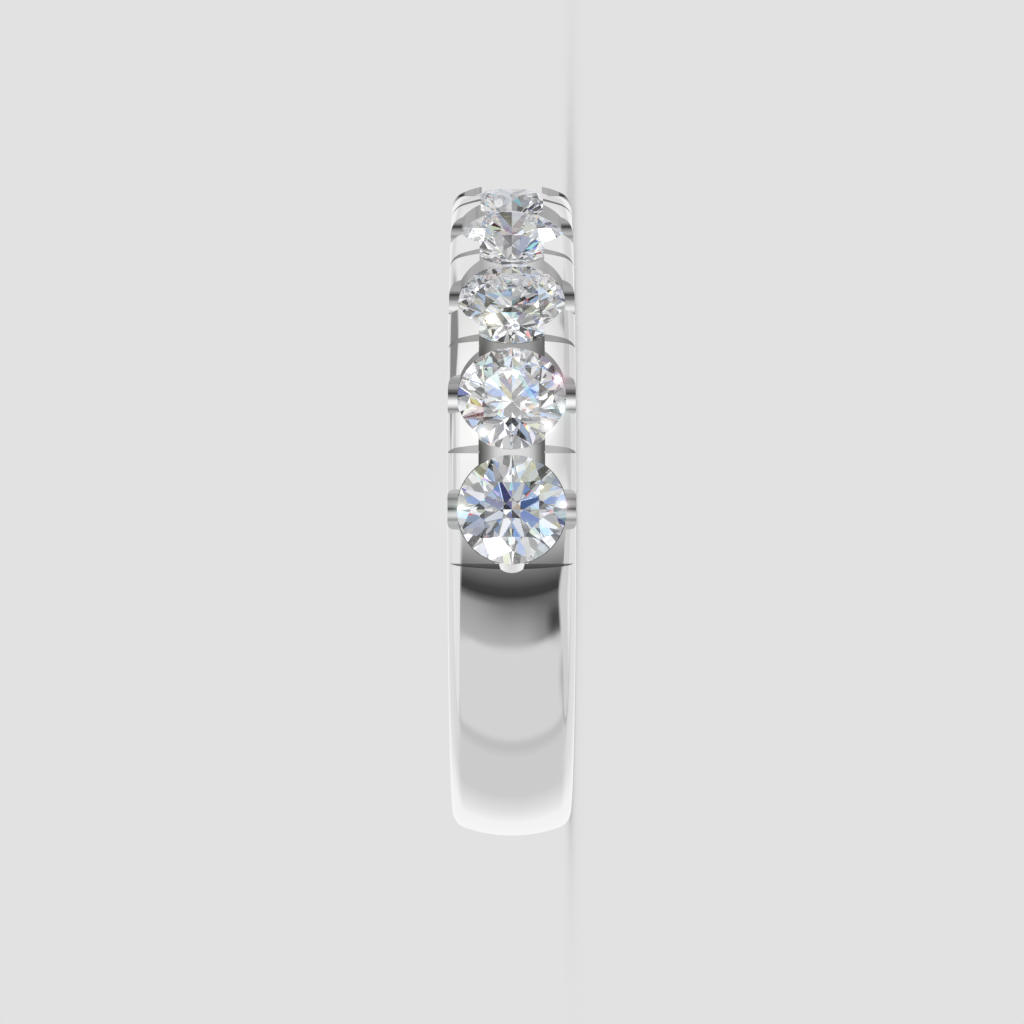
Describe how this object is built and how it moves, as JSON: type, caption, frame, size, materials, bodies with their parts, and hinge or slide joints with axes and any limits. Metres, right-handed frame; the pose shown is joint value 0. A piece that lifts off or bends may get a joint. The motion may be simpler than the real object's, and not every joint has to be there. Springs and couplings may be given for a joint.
{
  "type": "eternity ring",
  "caption": "Polished white-metal half-eternity ring with round brilliants in a castle setting on its upper half and a plain domed shank, lying on its side.",
  "frame": {"origin": "centre of the finger bore, in the plane of the side face that the ring rests on", "axes": "+Z along the finger axis, up from the resting side face; -Y towards the middle of the row of stones"},
  "size_m": [0.0208, 0.0209, 0.0038],
  "materials": {
    "white_metal": "mirror polished white gold",
    "stone": "clear faceted brilliant"
  },
  "bodies": {
    "root": {"band": "white_metal", "stone_1": "stone", "stone_2": "stone", "stone_3": "stone", "stone_4": "stone", "stone_5": "stone", "stone_6": "stone", "stone_7": "stone", "stone_8": "stone", "stone_9": "stone", "stone_10": "stone"}
  },
  "joints": []
}
